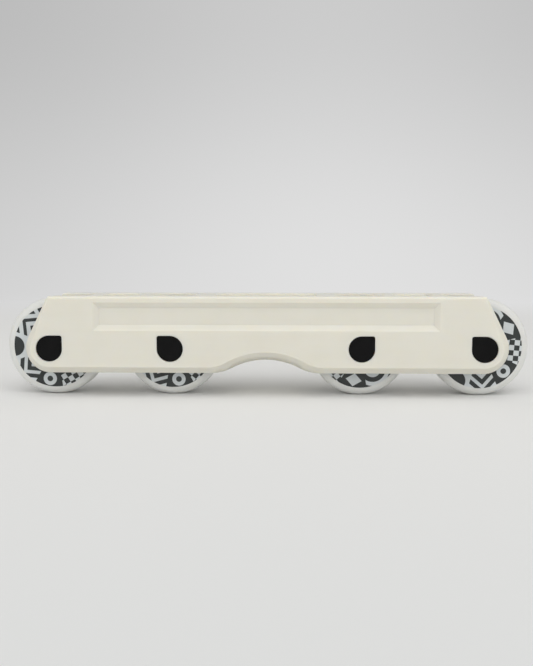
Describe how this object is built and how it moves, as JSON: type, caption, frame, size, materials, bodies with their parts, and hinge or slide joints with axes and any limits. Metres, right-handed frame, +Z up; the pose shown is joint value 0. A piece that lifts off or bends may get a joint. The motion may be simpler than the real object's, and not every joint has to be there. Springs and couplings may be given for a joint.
{
  "type": "inline skate frame",
  "caption": "Grinding inline skate frame: a one-piece moulded body with a bevelled grind arch, urethane wheels on ball bearings, and flush teardrop plugs that hold the axles.",
  "frame": {"origin": "on the floor, under the middle of the frame", "axes": "+X along the frame, +Y across it towards the side with the axle heads, +Z up"},
  "size_m": [0.31, 0.042, 0.0594],
  "materials": {
    "frame_nylon": "moulded, satin",
    "urethane": "cast, smooth",
    "hub_plastic": "moulded",
    "bearing_steel": "ground",
    "cage_brass": "pressed",
    "shield_steel": "pressed",
    "spacer_aluminium": "turned",
    "axle_steel": "zinc plated",
    "nut_brass": "machined",
    "plug_nylon": "moulded, matte"
  },
  "bodies": {
    "chassis": {"frame": "frame_nylon", "wheel_1_inner_rings": "bearing_steel", "wheel_1_spacer": "spacer_aluminium", "wheel_1_axle": "axle_steel", "wheel_1_axle_nut": "nut_brass", "wheel_1_nut_plug": "plug_nylon", "wheel_1_head_plug": "plug_nylon", "wheel_2_inner_rings": "bearing_steel", "wheel_2_spacer": "spacer_aluminium", "wheel_2_axle": "axle_steel", "wheel_2_axle_nut": "nut_brass", "wheel_2_nut_plug": "plug_nylon", "wheel_2_head_plug": "plug_nylon", "wheel_3_inner_rings": "bearing_steel", "wheel_3_spacer": "spacer_aluminium", "wheel_3_axle": "axle_steel", "wheel_3_axle_nut": "nut_brass", "wheel_3_nut_plug": "plug_nylon", "wheel_3_head_plug": "plug_nylon", "wheel_4_inner_rings": "bearing_steel", "wheel_4_spacer": "spacer_aluminium", "wheel_4_axle": "axle_steel", "wheel_4_axle_nut": "nut_brass", "wheel_4_nut_plug": "plug_nylon", "wheel_4_head_plug": "plug_nylon"},
    "wheel_1": {"wheel_1_tyre": "urethane", "wheel_1_hub": "hub_plastic", "wheel_1_outer_rings": "bearing_steel", "wheel_1_shields": "shield_steel"},
    "ball_set_1": {"wheel_1_balls": "bearing_steel", "wheel_1_cages": "cage_brass"},
    "wheel_2": {"wheel_2_tyre": "urethane", "wheel_2_hub": "hub_plastic", "wheel_2_outer_rings": "bearing_steel", "wheel_2_shields": "shield_steel"},
    "ball_set_2": {"wheel_2_balls": "bearing_steel", "wheel_2_cages": "cage_brass"},
    "wheel_3": {"wheel_3_tyre": "urethane", "wheel_3_hub": "hub_plastic", "wheel_3_outer_rings": "bearing_steel", "wheel_3_shields": "shield_steel"},
    "ball_set_3": {"wheel_3_balls": "bearing_steel", "wheel_3_cages": "cage_brass"},
    "wheel_4": {"wheel_4_tyre": "urethane", "wheel_4_hub": "hub_plastic", "wheel_4_outer_rings": "bearing_steel", "wheel_4_shields": "shield_steel"},
    "ball_set_4": {"wheel_4_balls": "bearing_steel", "wheel_4_cages": "cage_brass"}
  },
  "joints": [
    {"name": "wheel_1_spin", "type": "hinge", "parent": "chassis", "child": "wheel_1", "pos_m": [-0.126, 0, 0.029], "axis": [0, 1, 0], "continuous": true},
    {"name": "ball_set_1_spin", "type": "hinge", "parent": "chassis", "child": "ball_set_1", "pos_m": [-0.126, 0, 0.029], "axis": [0, 1, 0], "continuous": true},
    {"name": "wheel_2_spin", "type": "hinge", "parent": "chassis", "child": "wheel_2", "pos_m": [-0.0555, 0, 0.029], "axis": [0, 1, 0], "continuous": true},
    {"name": "ball_set_2_spin", "type": "hinge", "parent": "chassis", "child": "ball_set_2", "pos_m": [-0.0555, 0, 0.029], "axis": [0, 1, 0], "continuous": true},
    {"name": "wheel_3_spin", "type": "hinge", "parent": "chassis", "child": "wheel_3", "pos_m": [0.0555, 0, 0.029], "axis": [0, 1, 0], "continuous": true},
    {"name": "ball_set_3_spin", "type": "hinge", "parent": "chassis", "child": "ball_set_3", "pos_m": [0.0555, 0, 0.029], "axis": [0, 1, 0], "continuous": true},
    {"name": "wheel_4_spin", "type": "hinge", "parent": "chassis", "child": "wheel_4", "pos_m": [0.126, 0, 0.029], "axis": [0, 1, 0], "continuous": true},
    {"name": "ball_set_4_spin", "type": "hinge", "parent": "chassis", "child": "ball_set_4", "pos_m": [0.126, 0, 0.029], "axis": [0, 1, 0], "continuous": true}
  ],
  "couplings": [
    {"joint": "ball_set_1_spin", "follows": "wheel_1_spin", "ratio": 0.63233},
    {"joint": "ball_set_2_spin", "follows": "wheel_2_spin", "ratio": 0.63233},
    {"joint": "ball_set_3_spin", "follows": "wheel_3_spin", "ratio": 0.63233},
    {"joint": "ball_set_4_spin", "follows": "wheel_4_spin", "ratio": 0.63233}
  ]
}
